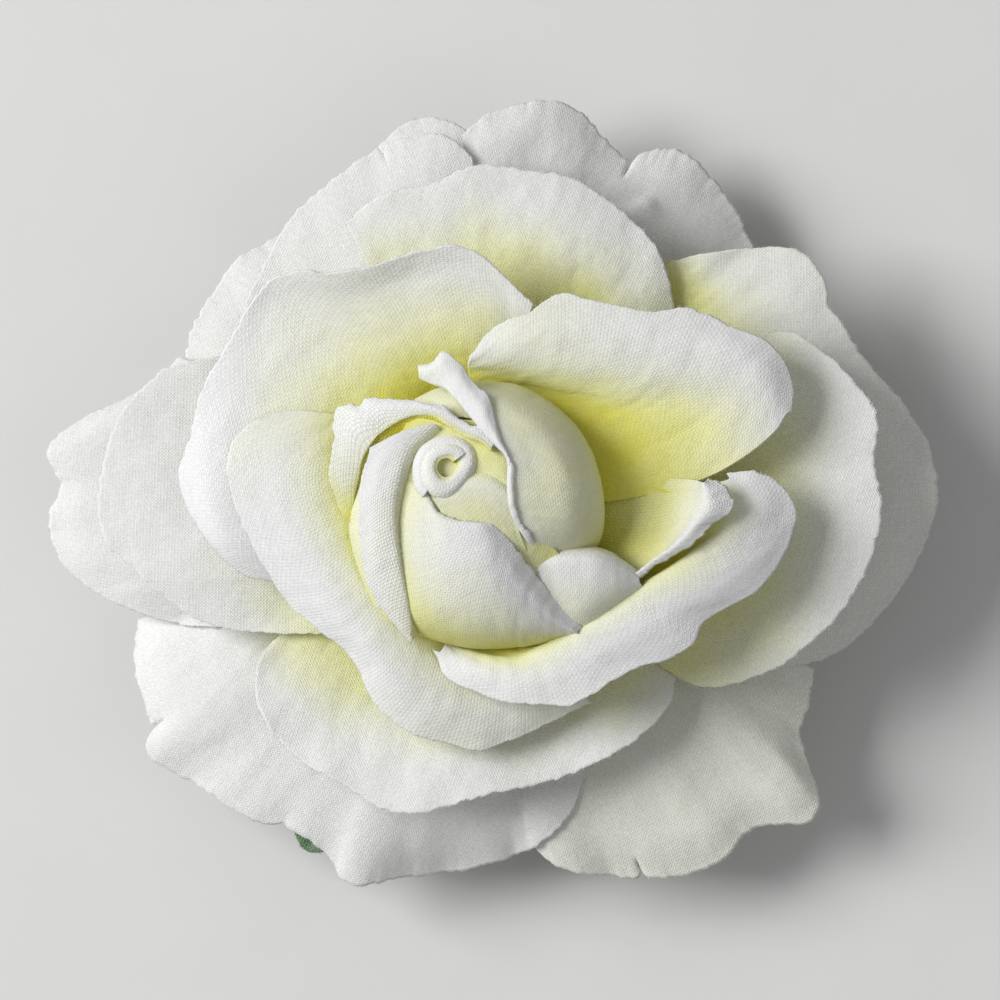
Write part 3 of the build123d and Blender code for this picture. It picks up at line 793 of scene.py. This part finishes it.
shaped("inner_petal_lower_right", [
    root_arc(312, 52, 3.4, 23, 7),
    [(-3.6, -14.6, 28), (3, -15.6, 28), (9.5, -14, 28.5), (14.6, -10, 29),
     (17.6, -5, 29.8), (18.6, 0.4, 30.6)],
    [(-4.2, -18.2, 30.8), (3, -19.6, 31.6), (10.4, -17.2, 32), (18.4, -11.8, 32.6),
     (25.4, -6.8, 33), (26.6, -0.4, 32.9)],
    [(-4.2, -19, 32.4), (0.9, -20.6, 33.6), (4.8, -21, 34.2), (8.1, -19.6, 34.7),
     (11.9, -17.5, 35.1), (15.7, -14.9, 35.4), (20.7, -11.6, 35.5), (23.6, -9.6, 35.3),
     (27.2, -7, 34.9), (29.9, -4.6, 34.3), (30.6, -2.2, 33.8), (28.9, 0.8, 33)],
    [(-4.8, -19.6, 32.6), (1, -22.6, 34), (8.6, -22.6, 34.9), (16, -18.6, 35.6),
     (22, -15.2, 35.6), (28, -11.6, 35), (33.2, -6.6, 33.8), (34.2, -2, 33.2),
     (30.4, 1.6, 32.8)],
    [(-5.3, -19.5, 32.2), (-4.4, -22.1, 32.3), (-2.5, -23.6, 32.6), (0.9, -24.9, 33.1),
     (4.4, -25.9, 33.6), (7.7, -26, 33.9), (10.5, -26.3, 34.1), (13.4, -25, 34.4),
     (16, -23.3, 34.5), (19.3, -21.5, 34.4), (22.6, -20.6, 34.1), (25.6, -19, 33.8),
     (27, -16.2, 33.7), (30, -14.3, 33.2), (34, -11.9, 32.4), (36.4, -9, 31.9),
     (38, -5.5, 31.4), (38.6, -2.6, 31.3), (37.6, -0.3, 31.5), (35.5, 1.5, 31.9),
     (33.2, 2.2, 32.3), (30, 2.1, 32.6)],
], [1, 1, 0.95, 0.32, 0, 0], across=260, along=150, crumple=0.18, seed=44,
    ragged=0.14)

# ---- Bud ----

# The cream body that shows round and between the bud's petals.
shaped("bud_petal_lower", [
    root_arc(172, -122, 3.4, 24.6, 9),
    [(4, -12.5, 29), (-4, -13, 29), (-10, -9, 29), (-11.5, -2, 29), (-9, 5, 29),
     (-3, 9, 29), (4, 9.4, 29)],
    [(3, -17.6, 33), (-5, -17.9, 33.4), (-11.2, -15.7, 34), (-14.6, -9.8, 34.8),
     (-15.8, -3.2, 35.6), (-14.2, 2.6, 37), (-11, 8, 38), (-6.6, 11.4, 38.6),
     (-2, 12.6, 38.6), (5, 11.4, 38)],
    [(3, -14.4, 36), (-4, -14.8, 36.8), (-9.2, -12.4, 38), (-12.6, -8, 39.2),
     (-13.6, -3, 40.2), (-12.2, 2.4, 41.2), (-9.2, 7.4, 42), (-5, 10.4, 42.3),
     (-0.6, 11, 42.2), (4, 9.4, 41.8)],
    [(3, -9.6, 38), (-2.4, -9.6, 39.4), (-6.6, -7.4, 40.6), (-9, -4, 41.6),
     (-9.2, 0, 42.2), (-8, 4, 42.8), (-5.8, 7.6, 43.2), (-2.4, 8.8, 43.3), (2, 7.4, 43)],
], [1, 0.95, 0.42, 0.24, 0.3], across=170, along=90, seed=51, fringe=(0, 0), crumple=0.08,
    tint_across=(0.4, 0.3, 0.05, 0, 0, 0, 0))
shaped("bud_petal_right", [
    root_arc(345, 45, 3.6, 24.4, 6),
    [(6, -13, 29), (11, -10, 29.5), (14, -6, 30), (14.6, 1.2, 29.6)],
    [(10, -15, 32), (15, -12, 32.4), (18.6, -7.4, 32.6), (20, 1.4, 31)],
    [(14.6, -13.6, 33.8), (18.2, -11.4, 34.2), (21.6, -8, 34.4), (23.6, 1.4, 31.8)],
    [(18.6, -10.6, 35.3), (20.8, -8.8, 35.6), (23, -7, 35.8), (24.8, -4.4, 35.8),
     (25.6, -1.8, 35.2), (26.2, 1.2, 33.4)],
    [(19, -10.2, 35.9), (21.2, -8.5, 36.4), (23.6, -6.8, 37), (26, -4.2, 37.5),
     (27.6, -1.8, 37.5), (27.2, 0.9, 36.7)],
    [(19.3, -10.5, 35.6), (21.4, -9.1, 36), (24, -7.6, 36.4), (26.2, -6.1, 36.8),
     (28.4, -3.9, 36.8), (30.3, -2.7, 36.5), (30.6, -1.2, 36.1), (29.4, 0.4, 35.9),
     (27.6, 1.2, 35.7)],
], [1, 0.9, 0.62, 0.42, 0.2, 0.03, 0], along=120, seed=52, material=PETAL_OPEN,
    crumple=0.08, ribs=0.07, rib_size=0.7, ragged=0.3, fringe=(7, 0.5), side_fringe=False)
shaped("bud_petal_upper_left", [
    root_arc(140, -58, 3.6, 24.6, 7),
    [(-9, -5, 30), (-10.6, 2, 30), (-7.6, 7.6, 30), (-1, 9.6, 30), (4, 8, 30)],
    [(-14.8, -4.6, 35.6), (-13.8, 0, 38.4), (-12.2, 3.4, 40), (-9.6, 6.8, 41.6),
     (-5.6, 8, 42.8), (-1, 6.8, 43.2), (1.2, 5, 43.2)],
    [(-15.4, -4, 36.2), (-14.8, 0.6, 38.8), (-13.7, 4.3, 40.9), (-12.2, 6.3, 42),
     (-9.9, 7.9, 42.7), (-7.5, 8.7, 43.2), (-5.4, 8.6, 43.7), (-3.5, 7.7, 44.1),
     (-1.8, 6.7, 44.3), (0.2, 5.9, 44.5), (1.4, 4.8, 44.5)],
    [(-15.8, -3.8, 36.8), (-15.2, 0.8, 39.4), (-14.2, 4.6, 41.6), (-12.6, 6.9, 42.7),
     (-10.2, 8.6, 43.4), (-7.6, 9.4, 43.9), (-5.4, 9.3, 44.4), (-3.6, 8.3, 44.8),
     (-1.9, 7.2, 45), (0.2, 6.3, 45.2), (1.5, 5.1, 45.2)],
    [(-16.6, -3, 37), (-16.5, 1.2, 39.4), (-15.8, 5.8, 41.6), (-14.4, 8.2, 42.6),
     (-11.6, 9.7, 43.3), (-8.4, 10.1, 43.8), (-5.8, 9.9, 44.4), (-3.8, 9.2, 44.8),
     (-2, 7.9, 45.1), (0.2, 6.8, 45.3), (1.7, 5.5, 45.3)],
    [(-17, -2.4, 36.8), (-17.9, 0.8, 38.8), (-18, 3.2, 39.8), (-17.6, 6, 40.8),
     (-17.4, 9.4, 41.3), (-15.9, 10.2, 41.8), (-14.6, 9.9, 42.1), (-13.7, 10.8, 42.3),
     (-10.9, 10.8, 42.9), (-8, 10.6, 43.4), (-6.3, 10.1, 43.9), (-4.6, 10.2, 44.3),
     (-3.1, 9.1, 44.7), (-1.8, 8.1, 45), (0.4, 7.2, 45.1), (1.9, 5.8, 45.1)],
], [1, 1, 1, 0.95, 0.15, 0, 0], across=190, along=120, seed=53, crumple=0.08,
    material=PETAL_OPEN, tint_across=(0.7, 0.2, 0.02, 0, 0, 0, 0), ragged=0.22,
    fringe=(7, 0.45), ribs=0.03)
shaped("bud_petal_left", [
    root_arc(195, -60, 3.6, 24.8, 7),
    [(-4, 6.5, 31), (-8.4, 3, 31), (-9.4, -3, 31), (-8.6, -10, 31), (-5, -14, 31)],
    [(-4.6, 6.4, 40.6), (-7.4, 3.2, 40.6), (-8.6, -2, 40), (-8.4, -8, 38.4),
     (-7.8, -13, 36.6), (-7.2, -17, 34.4)],
    [(-4.9, 7.4, 43.9), (-7.7, 4.8, 43.6), (-9.2, 1.2, 43), (-9.9, -3, 42.2),
     (-9.4, -8.6, 40.8), (-8.5, -13.5, 38.6), (-8, -18, 36)],
    [(-5.5, 7.9, 44.6), (-8.5, 5.3, 44.4), (-10, 1.3, 43.9), (-10.6, -3, 43.1),
     (-10, -8.6, 41.6), (-8.9, -13.6, 39.4), (-8.2, -18.2, 36.6)],
    [(-8.8, 7.2, 44.6), (-11.2, 4, 44.2), (-12.4, -0.5, 43.4), (-12.5, -6, 42.1),
     (-11.6, -11.2, 40.1), (-9.9, -16, 37.8), (-8.3, -18.4, 36.2)],
    [(-13.2, 5.1, 43.5), (-14.2, 1.2, 42.6), (-14.5, -3, 41.6), (-13.9, -9.4, 39.4),
     (-12.6, -13.5, 37.9), (-9.9, -16.9, 36.4), (-8.4, -18.6, 35.7)],
], [1, 0.9, 0.75, 0.36, 0.1, 0, 0], across=170, along=130, seed=54, crumple=0.06,
    material=PETAL_OPEN, ragged=0.16, fringe=(6, 0.4), tint_across=(0, 0, 0.03, 0.05, 0.16),
    ribs=0.03)
shaped("bud_petal_dome", [
    root_arc(5, 95, 3.6, 24.8, 9),
    [(6, -11, 29), (11.4, -8, 29), (12.6, -1, 29), (9, 6.6, 29), (0, 9.6, 29)],
    [(9.6, -10, 32), (14.2, -6.8, 33), (14.9, -0.4, 34), (12, 7.2, 34.8),
     (5.4, 12.2, 35), (-1, 13, 36)],
    [(9.2, -9.2, 35.4), (13.4, -5.6, 37.4), (13.7, 0.2, 39.2), (10.6, 7.2, 39.8),
     (4.4, 11.4, 40.2), (-2, 12.6, 40.8)],
    [(8.4, -8.4, 37.4), (10.8, -4.4, 41.2), (10.6, 1.2, 43), (8, 6.4, 43.2),
     (3, 10.6, 42.9), (-3, 12.6, 42.4)],
    [(7.5, -7.7, 38.8), (6.8, -4, 42.6), (6.4, 1.4, 44.2), (5.2, 5, 44.4),
     (2.6, 8.6, 44.1), (-0.2, 11.2, 43.3), (-4, 12.8, 42.5)],
    [(6.4, -6.9, 39.8), (5.5, -5.4, 41.7), (4.3, -3.7, 43.3), (3.6, -1.7, 44.3),
     (3.4, 1.2, 44.9), (3.2, 3.9, 45.2), (2.1, 5.2, 45.3), (0.4, 7.1, 45.2),
     (-1.4, 9.3, 44.8), (-3.1, 11.3, 44.2), (-4.3, 12.5, 43.6), (-5.8, 13, 43.1),
     (-7.2, 13.6, 42.6)],
    [(6.6, -6.9, 40), (5.8, -5.4, 41.9), (4.6, -3.6, 43.5), (3.9, -1.7, 44.7),
     (3.7, 1.2, 45.3), (3.6, 3.7, 45.6), (2.6, 5.2, 45.8), (1.3, 7.5, 45.6),
     (0.2, 9.8, 45.2), (-1.1, 11.6, 44.6), (-2.8, 13.6, 44), (-5, 14.8, 43.6),
     (-7.3, 14.2, 42.9)],
    [(6.8, -6.8, 39.8), (6, -5.3, 41.8), (4.8, -3.6, 43.4), (4.2, -1.7, 44.5),
     (4, 1.2, 45.1), (4, 3.2, 45.3), (3, 4.9, 45.4), (2.1, 7.6, 45.1), (1.5, 9.8, 44.6),
     (0.9, 11.4, 44.1), (-0.9, 13, 43.6), (-2.3, 15.1, 43.2), (-4.3, 16.5, 42.9),
     (-6, 15.1, 42.7), (-7.4, 14.8, 42.6)],
], [1, 0.95, 0.66, 0.4, 0.28, 0.22, 0.05, 0, 0], across=190, along=140, seed=55,
    crumple=0.06, ragged=0.16, fringe=(7, 0.4), ribs=0.03)
shaped("bud_petal_front", [
    root_arc(255, 70, 3.8, 25, 8),
    [(-10.5, -12, 31), (-8, -16, 30), (-3, -17.4, 29.5), (3, -18, 29.5), (8, -17.3, 29.8),
     (11.5, -16.5, 30)],
    [(-11, -14.2, 35), (-8.3, -17, 34), (-3.7, -18.7, 33.4), (2.5, -19.2, 33),
     (8, -18.5, 32.8), (12, -17.7, 32.6)],
    [(-11, -11.5, 38.2), (-7.6, -15.6, 38), (-3, -17.2, 37.6), (2.5, -17.9, 36.8),
     (7.5, -17.8, 35.4), (12, -17.6, 33.8)],
    [(-11, -7.5, 40.2), (-6.6, -11.8, 41), (-2.2, -14, 40.9), (2.5, -15.8, 39.6),
     (7, -16.8, 37.4), (12, -17.5, 34.8)],
    [(-10.8, -3.5, 41.2), (-6.6, -7.4, 42.5), (-2, -9.6, 42.9), (2.2, -12, 41.8),
     (6.6, -15, 39), (11.9, -17.4, 35.4)],
    [(-10, -0.5, 41.9), (-6.8, -3.2, 43.2), (-3.4, -5.6, 43.8), (0.6, -7.4, 43.7),
     (3.6, -11, 41.7), (7.4, -14.6, 38.9), (11.8, -17.3, 35.9)],
    [(-9.3, 1.2, 42.4), (-7.1, 0.5, 43.2), (-6, -1.5, 43.6), (-5.2, -3, 43.9),
     (-3.7, -3.9, 44), (-1.85, -4.3, 44.1), (0.3, -4.4, 44), (1.5, -5.6, 43.6),
     (2.6, -7.5, 42.9), (4, -9.9, 41.8), (7.4, -13.8, 39.2), (9.8, -15.9, 37.3),
     (11.8, -17.2, 35.8)],
    [(-9.2, 1.6, 42.2), (-6.9, 0.9, 42.9), (-5.7, -1.2, 43.3), (-4.9, -2.6, 43.5),
     (-3.5, -3.5, 43.6), (-1.7, -3.9, 43.7), (0.9, -4, 43.5), (2.8, -5.1, 42.6),
     (4.2, -6.9, 41.7), (5.7, -9.1, 40.4), (8.9, -12.8, 38), (11.1, -15.1, 36.4),
     (12.5, -16.8, 35.3)],
], [1, 1, 0.85, 0.55, 0.24, 0.07, 0, 0, 0], across=190, along=140, seed=57,
    crumple=0.05, ribs=0.07, rib_size=0.75, rib_from=0.4, ragged=0.2, fringe=(6, 0.4),
    tint_across=(0.4, 0.1, 0, 0, 0, 0, 0.03), rib_across=(0, 0, 0.1, 0.5, 1, 1))
# The pale bowl round the roll, which runs down between the front petal and the dome.
shaped("bud_wrap_outer", [
    [(-8.6, 8.6, 42.8), (-10.5, 4, 42.4), (-11, -2, 41.2), (-10.5, -8, 39)],
    [(-6.6, 8.8, 43.4), (-8.4, 4, 43), (-8.2, -1, 42.2), (-5.4, -7, 41)],
    [(-4, 8.6, 43.6), (-4, 3, 43.4), (-3.4, -3, 43), (-0.6, -8, 41.6), (3.4, -12.4, 38.6),
     (7, -15.4, 36)],
    [(-0.6, 8.4, 43.8), (0.2, 4, 43.6), (0.9, -1.5, 43), (2.8, -6, 41.8), (6, -10.4, 39.2),
     (9, -13.4, 37)],
    [(2.5, 8.6, 43.4), (3.6, 3, 43.4), (4.4, -2, 42.6), (5.8, -6, 41), (8.4, -9.4, 38.4),
     (11, -12, 36.2)],
    [(5, 8, 42), (6.5, 2, 41.5), (7.5, -3, 40.5), (9, -7, 39), (11.4, -10, 37)],
], [0.6, 0.36, 0.26, 0.36, 0.42, 0.5], across=120, seed=56, crumple=0.07, fringe=(0, 0),
    tint_across=(0.25, 0.02, 0.02, 0.1, 0.2), ribs=0.02)
# A smooth inner wrap whose upper fold runs from the roll towards the dome's rim.
shaped("bud_wrap_inner", [
    [(-5.6, 1.6, 43), (-1.8, 2.2, 43.2), (1.6, 2, 43.2), (4.4, 0.6, 42.6)],
    [(-5.6, 0.2, 43.7), (-2, 0.7, 44.1), (1.2, 0.5, 44.1), (4, -0.8, 43.6)],
    [(-5.2, -0.8, 43.8), (-2, -0.3, 44.1), (1.3, -0.7, 44), (4.2, -2.2, 43.3)],
    [(-4.8, -2.2, 43.5), (-1.8, -2.4, 43.7), (2, -3.2, 43.4), (4.8, -5, 42.2)],
    [(-4.2, -4, 43), (-0.6, -5.4, 42.9), (3, -7.4, 41.6), (6, -8, 40.2)],
], [0.45, 0.2, 0.22, 0.36, 0.45], across=100, along=80, seed=60, crumple=0.05, fringe=(0, 0),
    ribs=0.02)
shaped("bud_front_fold", [
    [(7, -14.5, 36.2), (9.5, -17, 34.4), (12.5, -18, 33.4), (16, -15.6, 33.6),
     (20, -12.4, 33.8)],
    [(6, -12.6, 37.8), (9, -14, 37.2), (12.4, -14.2, 37.5), (16, -13, 37),
     (19.8, -11.8, 35.2)],
    [(5.2, -11, 38.6), (8.6, -10.8, 38.9), (12, -10.6, 38.9), (15.6, -10.8, 38.1),
     (19.4, -11.2, 35.8)],
    [(5, -9.8, 38.9), (7.4, -9, 39.1), (9.8, -8.3, 39.2), (12.3, -8.2, 39),
     (14.8, -8.6, 38.4), (16.9, -9.4, 37.3), (19.3, -10.8, 35.9)],
    [(5.1, -9.1, 38.6), (7.4, -8.4, 38.7), (9.9, -7.7, 38.7), (12.5, -7.6, 38.4),
     (15, -8, 37.7), (17.1, -8.9, 36.6), (19.4, -10.4, 35.4)],
    [(5.6, -8.4, 36.8), (7.8, -7.6, 36.8), (10.2, -7, 36.6), (12.8, -6.9, 36.2),
     (15.4, -7.4, 35.6), (19.2, -9.8, 34)],
], [0.35, 0.16, 0.04, 0, 0.04, 0.5], node="bud_core", across=110, along=90, seed=58,
    crumple=0.05, fringe=(0, 0), tint_across=(0.14, 0.04, 0, 0, 0), ribs=0.02)
# Soft, puffy roll at the middle: a folded strip wound once and a half round the hole.
ROLL_X, ROLL_Y = -4.05, 2.75
ROLL_START = 0.6
TURNS = 1.55
ROLL_SECTION = ((0.95, 43.1), (1, 44.1), (1.35, 44.6), (1.9, 44.8), (2.45, 44.7),
                (2.85, 44.3), (3, 43.6))  # (radius, height) from the hole outwards


def roll_rows():
    """Rows of points round the hole, whose radius grows after the first half turn."""
    a = np.linspace(0, TURNS * 2 * math.pi, 44)
    grow = 1.25 * np.clip(a / (2 * math.pi) - 0.55, 0, None)
    wave = 1 + 0.09 * np.sin(2 * a + 0.8) + 0.05 * np.sin(3 * a + 2)
    x, y = np.cos(a + ROLL_START), np.sin(a + ROLL_START)
    rows = []
    for r, z in ROLL_SECTION:
        radius = (r + grow * (1 if r > 2 else 0.75)) * (wave if r > 1.2 else wave ** 0.5)
        height = z - 0.5 * grow + 0.15 * np.sin(a * 0.8)
        rows.append(np.stack([ROLL_X + radius * x, ROLL_Y + radius * y, height], 1))
    return rows


shaped("bud_roll", roll_rows(), [1, 0.85, 0.25, 0.02, 0, 0.04, 0.2], across=240, along=60,
       seed=59, crumple=0.2, ragged=0.14, fringe=(12, 0.5), side_fringe=False, thick=0.3)


# ---- CAD pieces that stay, with finishes ----

steel = plain_material("nickel plate", (0.70, 0.70, 0.71), 0.3, 900, 0.00002, variation=0.06,
                       metal=1.0, stretch=(0.15, 1.0, 1.0))
wire = plain_material("spring wire", (0.52, 0.52, 0.54), 0.32, 1400, 0.00002, variation=0.08,
                      metal=1.0)
felt = plain_material("pressed felt", (0.62, 0.63, 0.60), 0.95, 1500, 0.0003, variation=0.10,
                      sheen=0.5)
glue = plain_material("set glue", (0.72, 0.66, 0.48), 0.3, 300, 0.0002)
green = plain_material("moulded green", (0.07, 0.20, 0.06), 0.5, 900, 0.00005, variation=0.15)
washer = plain_material("moulded washer", (0.6, 0.62, 0.42), 0.55, 700, 0.00005)
for names, material in (
    (("lower_jaw", "upper_jaw", "hinge_pin"), steel), (("torsion_spring",), wire),
    (("felt_pad",), felt), (("glue_disc",), glue), (("calyx_cup", "centre_peg"), green),
    (("spacer_lower", "spacer_middle", "spacer_upper"), washer),
):
    for name in names:
        nodes[name].data.materials.clear()
        nodes[name].data.materials.append(material)

# The spring's lower leg sits with the base and its upper leg with the flower. Here its wire is a
# copy of the CAD spring's mesh with its placing baked into its points, and the CAD spring itself
# is hidden.
spring = bpy.data.objects.new("torsion_spring_wire", nodes["torsion_spring"].data.copy())
spring.matrix_world = nodes["torsion_spring"].matrix_world.copy()
bpy.context.scene.collection.objects.link(spring)
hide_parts("torsion_spring")
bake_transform(spring)


# ---- Stage, light and camera ----

FLOOR_HALF = 3.0
FLOOR_GAP = 0.0002
AIM_Z = 0.03            # height the lights point at
FRAME_WIDTH = 0.123     # what the camera sees across, at the height it is aimed at
MIDDLE_X, MIDDLE_Y, MIDDLE_Z = 0.00246, -0.00123, 0.022


def stage_floor():
    mesh = bpy.data.meshes.new("floor")
    s, z = FLOOR_HALF, cad_low.z - FLOOR_GAP
    mesh.from_pydata([(-s, -s, z), (s, -s, z), (s, s, z), (-s, s, z)], [], [(0, 1, 2, 3)])
    mesh.materials.append(paper_material())
    floor = bpy.data.objects.new("floor", mesh)
    bpy.context.scene.collection.objects.link(floor)


def area_light(name, bearing, elevation, distance, size, power):
    """A square light aimed at the flower, placed by its angles in degrees."""
    data = bpy.data.lights.new(name, "AREA")
    data.energy, data.size = power, size
    o = bpy.data.objects.new(name, data)
    a, e = math.radians(bearing), math.radians(elevation)
    level = distance * math.cos(e)
    o.location = (level * math.cos(a), level * math.sin(a), AIM_Z + distance * math.sin(e))
    direction = -o.location.copy()
    direction.z += AIM_Z
    o.rotation_euler = direction.to_track_quat("-Z", "Y").to_euler()
    bpy.context.scene.collection.objects.link(o)


def studio_world():
    world = bpy.data.worlds.new("studio")
    world.use_nodes = True
    background = world.node_tree.nodes["Background"]
    background.inputs[0].default_value = (0.97, 0.98, 1.0, 1)
    background.inputs[1].default_value = 0.30
    return world


def overhead_camera():
    """A long lens straight above the flower, so that it sees the width it is meant to."""
    data = bpy.data.cameras.new("camera")
    data.lens, data.sensor_width = 300, 36
    data.clip_start, data.clip_end = 0.01, 20
    eye = bpy.data.objects.new("camera", data)
    height = FRAME_WIDTH * data.lens / data.sensor_width
    eye.location = (MIDDLE_X, MIDDLE_Y, MIDDLE_Z + height)
    bpy.context.scene.collection.objects.link(eye)
    return eye


stage_floor()
area_light("key", bearing=163, elevation=43, distance=1.4, size=0.7, power=22.8)
area_light("fill", bearing=330, elevation=60, distance=0.9, size=0.6, power=0.6)
scene = bpy.context.scene
scene.world = studio_world()
scene.view_settings.view_transform = "Standard"
scene.camera = overhead_camera()
